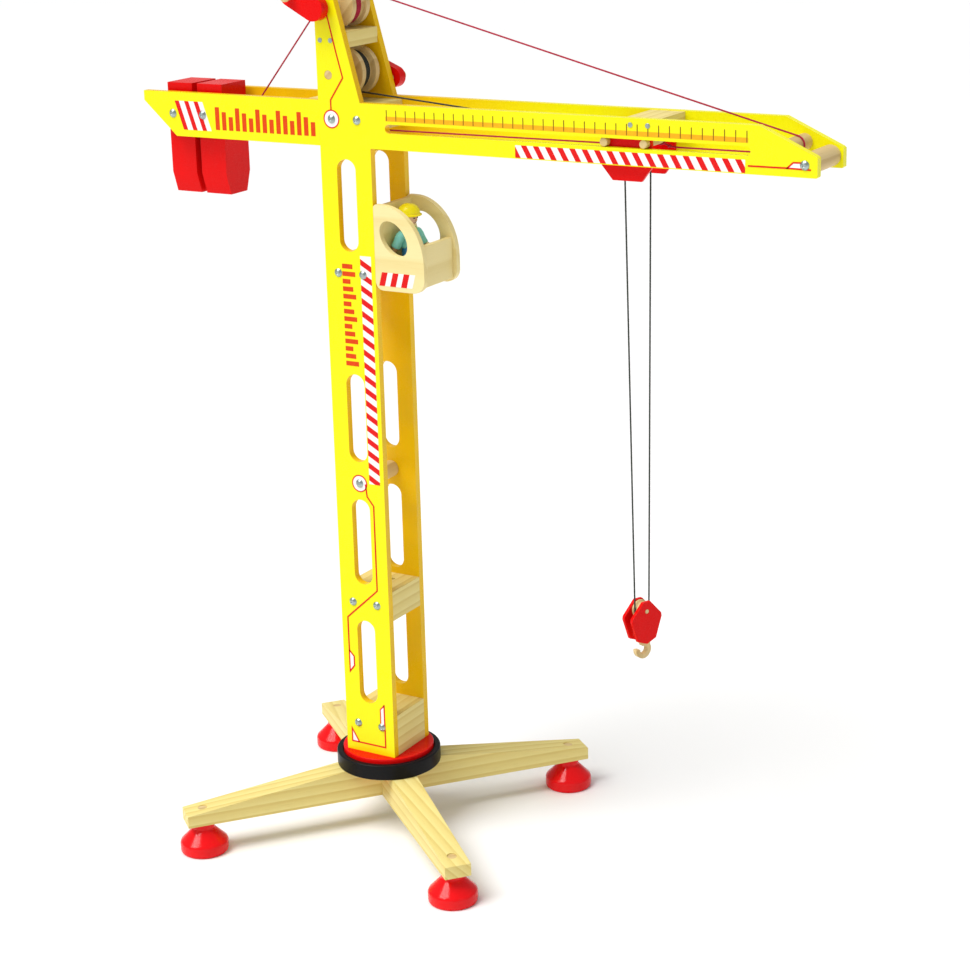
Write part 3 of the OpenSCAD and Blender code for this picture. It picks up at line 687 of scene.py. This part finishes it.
SHEAVE_GROOVE = 7.1 * MM + CORD_R
HOOK_TURN = math.radians(65)
across_sheave = Vector((math.cos(HOOK_TURN), math.sin(HOOK_TURN), 0))
under = [sheave_at + SHEAVE_GROOVE * (-math.cos(math.pi * i / 24) * across_sheave
                                      - math.sin(math.pi * i / 24) * Vector((0, 0, 1)))
         for i in range(25)]
falls = [Vector((INNER_ROLLER.x + ROLLER_R, 0, fall_top))] + under
falls += [Vector((OUTER_ROLLER.x - ROLLER_R, FALL_Y, fall_top))]
cord_piece("hoist_cord_falls", [falls], BLACK_CORD, ["hoist_falls"])

LOW_RUN_Z = 680 * MM
tip_side = [red_front_off] + arc(TIP_IN, TIP_R, 76, -90, CORD_Y)
tail_side = [red_rear_off] + arc(TAIL, TAIL_R, 141, 270, CORD_Y)
cord_piece("trolley_cord_upper", [tip_side, tail_side], RED_CORD, ["trolley_cords"], "tower")


def tied(roller, outward):
    """From the low run up to the roller, and once round it; the knot is made where this is called."""
    loop = arc(roller, ROLLER_R, 270 + 35 * outward, 270 - 395 * outward, CORD_Y, 40, -2.2 * CORD_R)
    foot = Vector((roller.x + outward * 12 * MM, CORD_Y, LOW_RUN_Z))
    return [foot, foot + Vector((-outward * 4 * MM, 0, 0.7 * MM))] + loop


for name, roller, start, outward in (
        ("trolley_cord_tip_run", OUTER_ROLLER, TIP_IN + Vector((0, 0, -TIP_R)), 1),
        ("trolley_cord_tail_run", INNER_ROLLER, TAIL + Vector((0, 0, -TAIL_R)), -1)):
    start.y = CORD_Y
    knot_at = roller + Vector((outward * 7.5 * MM, CORD_Y, -5.9 * MM))
    cord_piece(name, [[start] + tied(roller, outward), knot_points(knot_at, 1.6 * MM)], RED_CORD)


# ---------------------------------------------------------------- driver
def lathe(bm, profile, at=Vector(), steps=32, turn=Matrix.Identity(3), squash=(1, 1)):
    """A turned form about its own Z: profile is a list of (radius, height) in mm, closed at both ends."""
    rings = []
    for radius, height in profile:
        if radius < 0.01:
            rings.append([bm.verts.new(at + turn @ Vector((0, 0, height * MM)))])
        else:
            rings.append([bm.verts.new(at + turn @ Vector((
                radius * MM * squash[0] * math.cos(2 * math.pi * k / steps),
                radius * MM * squash[1] * math.sin(2 * math.pi * k / steps), height * MM)))
                for k in range(steps)])
    for a, b in zip(rings, rings[1:]):
        for k in range(steps):
            m = (k + 1) % steps
            corners = [a[k % len(a)], a[m % len(a)], b[m % len(b)], b[k % len(b)]]
            bm.faces.new(list(dict.fromkeys(corners)))


def round_profile(radius, low, high, soft, steps=6):
    """A cylinder's outline with ends rounded by soft."""
    turns = [math.pi / 2 * i / steps for i in range(steps + 1)]
    foot = [(radius - soft + soft * math.sin(a), low + soft - soft * math.cos(a)) for a in turns]
    head = [(radius - soft + soft * math.cos(a), high - soft + soft * math.sin(a)) for a in turns]
    return [(0, low)] + foot + head + [(0, high)]


def ball(radius, low_cut=-1.0, steps=16):
    turns = [math.asin(low_cut) + (math.pi / 2 - math.asin(low_cut)) * i / steps for i in range(steps + 1)]
    outline = [(radius * math.cos(a), radius * math.sin(a)) for a in turns]
    return ([(0, outline[0][1])] if low_cut > -1 else []) + outline[:-1] + [(0, radius)]


driver_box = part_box("driver_figure")
seat = Vector(((driver_box[0].x + driver_box[1].x) / 2, 0, driver_box[0].z))
head_at = seat + Vector((0, 0, 54 * MM))


def figure(name, build, material, nodes=()):
    bm = bmesh.new()
    build(bm)
    return put(name, to_mesh(name, bm, 48), "driver", material, nodes)


def legs(bm):
    for side in (-1, 1):
        lathe(bm, round_profile(4.6, 3, 30, 1.6), seat + Vector((1.6 * MM, side * 4.8 * MM, 0)),
              squash=(1.5, 0.98))


def boots(bm):
    for side in (-1, 1):
        lathe(bm, round_profile(4.6, 0, 4.4, 1.4), seat + Vector((1.2 * MM, side * 4.4 * MM, 0)),
              squash=(1.35, 0.95))


def torso(bm):
    lathe(bm, [(0, 27), (7.8, 27), (8.8, 27.7), (9.0, 29), (8.6, 31), (8.3, 34), (8.3, 37), (7.6, 39.6),
               (6.0, 42.2), (4.4, 44.2), (0, 45)], seat, squash=(0.92, 1.08))


def arm_pose(side):
    """Where a shoulder is, and how its arm swings: the front one back, the rear one forward."""
    swing = Matrix.Rotation(math.radians(24 if side < 0 else -24), 3, "Y")
    return seat + Vector((side * 1.4 * MM, side * 11 * MM, 41 * MM)), swing @ Matrix.Rotation(
        math.radians(side * 7), 3, "X")


def arms(bm):
    for side in (-1, 1):
        shoulder, swing = arm_pose(side)
        lathe(bm, [(0, 2.1), (2.7, 1.7), (4.1, -0.8), (4.5, -4), (4.3, -8), (4.5, -11.6), (4.6, -13.2),
                   (4.1, -13.8), (0, -13.8)], shoulder, turn=swing)


def hands(bm):
    for side in (-1, 1):
        shoulder, swing = arm_pose(side)
        lathe(bm, ball(2.7), shoulder + swing @ Vector((0, 0, -15.6 * MM)), turn=swing, steps=20)


def scarf(bm):
    lathe(bm, [(4.0, 42.6), (6.4, 42.9), (7.0, 44.2), (6.6, 45.8), (5.2, 46.7), (4.0, 46.7)], seat)
    tail = Matrix.Rotation(math.radians(12), 3, "Y")
    lathe(bm, round_profile(2.1, -11, 0, 1.0), seat + Vector((5.8 * MM, 2.2 * MM, 44.8 * MM)), steps=16,
          turn=tail, squash=(0.5, 1.25))


def head(bm):
    lathe(bm, ball(8.0, steps=20), head_at, squash=(0.98, 0.96))
    lathe(bm, round_profile(3.6, -11, -5, 0.8), head_at, steps=20)
    lathe(bm, ball(1.1), head_at + Vector((7.9 * MM, 0, -1.4 * MM)), steps=14)


def features(bm):
    look = Matrix.Rotation(math.radians(90), 3, "Y")
    for side in (-1, 1):
        lathe(bm, ball(0.75), head_at + Vector((7.35 * MM, side * 2.7 * MM, 0.4 * MM)), steps=12, turn=look)
    for i in range(-3, 4):
        a = math.radians(i * 9)
        lathe(bm, ball(0.34), head_at + Vector((
            7.0 * MM * math.cos(a), 7.0 * MM * math.sin(a), -3.7 * MM + 0.12 * MM * i * i)), steps=8)


def helmet(bm):
    top = head_at + Vector((0, 0, 2.8 * MM))
    lathe(bm, [(7.6, 0), (10.2, 0), (10.5, 0.8), (10.4, 2.6), (9.6, 5.4), (8.0, 7.8), (5.6, 9.5), (2.8, 10.3),
               (0, 10.5)], top, squash=(1.0, 0.97))
    lathe(bm, [(7.6, -0.2), (11.0, -0.4), (11.3, 0.1), (11.1, 0.7), (9.8, 1.3), (7.6, 1.0)],
          top + Vector((1.0 * MM, 0, 0)))
    for side in (-1, 0, 1):
        for i in range(13):
            a = math.radians(18 + 12 * i)
            lathe(bm, ball(0.9, steps=5), top + Vector((
                9.9 * MM * math.cos(a), side * 3.0 * MM,
                9.4 * MM * math.sin(a) - 0.4 * abs(side) * MM)), steps=10)


figure("driver_jacket", torso, JACKET, nodes=["driver_figure"])
figure("driver_sleeves", arms, JACKET)
figure("driver_trousers", legs, TROUSERS)
figure("driver_boots", boots, BOOTS)
figure("driver_hands", hands, SKIN)
figure("driver_scarf", scarf, SCARF)
figure("driver_head", head, SKIN)
figure("driver_features", features, BOOTS)
figure("driver_hard_hat", helmet, HELMET, ["driver_helmet"])


# ---------------------------------------------------------------- floor and light
def make_floor():
    g = Graph("studio_floor")
    cloud = g.noise(1.6, 3, 0.5)
    base = g.mix(g.span(cloud, 0.0, 1.0, 0.3, 0.7), (0.95, 0.95, 0.95), (0.92, 0.92, 0.92))
    material = g.finish(base, g.span(cloud, 0.55, 0.7))
    bm = bmesh.new()
    bmesh.ops.create_grid(bm, x_segments=24, y_segments=24, size=16)
    floor = bpy.data.objects.new("studio_floor", to_mesh("studio_floor", bm))
    floor.data.materials.append(material)
    scene.collection.objects.link(floor)


def soft_light(name, at, size, power, towards=Vector((0.1, 0, 0.35)), kind="AREA"):
    """An area light of that width, or a sun of that angle in degrees, aimed at a point."""
    data = bpy.data.lights.new(name, kind)
    if kind == "SUN":
        data.angle = math.radians(size)
    else:
        data.shape = "DISK"
        data.size = size
    data.energy = power
    light = bpy.data.objects.new(name, data)
    light.location = at
    light.rotation_euler = (towards - Vector(at)).to_track_quat("-Z", "Y").to_euler()
    scene.collection.objects.link(light)


make_floor()
soft_light("sky_key", (-0.8, -1.3, 3.05), 34, 2.7, kind="SUN")
soft_light("key", (-1.2, -2.1, 2.0), 1.2, 8)
soft_light("top", (0.3, 0.3, 2.8), 1.8, 5)
soft_light("fill", (2.4, -0.9, 1.1), 1.6, 2)
SKY_STRENGTH = 0.42
world = bpy.data.worlds.new("studio")
world.use_nodes = True
sky = world.node_tree.nodes["Background"]
sky.inputs["Color"].default_value = (1, 1, 1, 1)
# the sky lights the crane at SKY_STRENGTH, and is plain white where it is seen itself
seen = world.node_tree.nodes.new("ShaderNodeMapRange")
seen.inputs["To Min"].default_value = SKY_STRENGTH
rays = world.node_tree.nodes.new("ShaderNodeLightPath")
world.node_tree.links.new(rays.outputs["Is Camera Ray"], seen.inputs["Value"])
world.node_tree.links.new(seen.outputs[0], sky.inputs["Strength"])
scene.world = world
scene.view_settings.view_transform = "Standard"
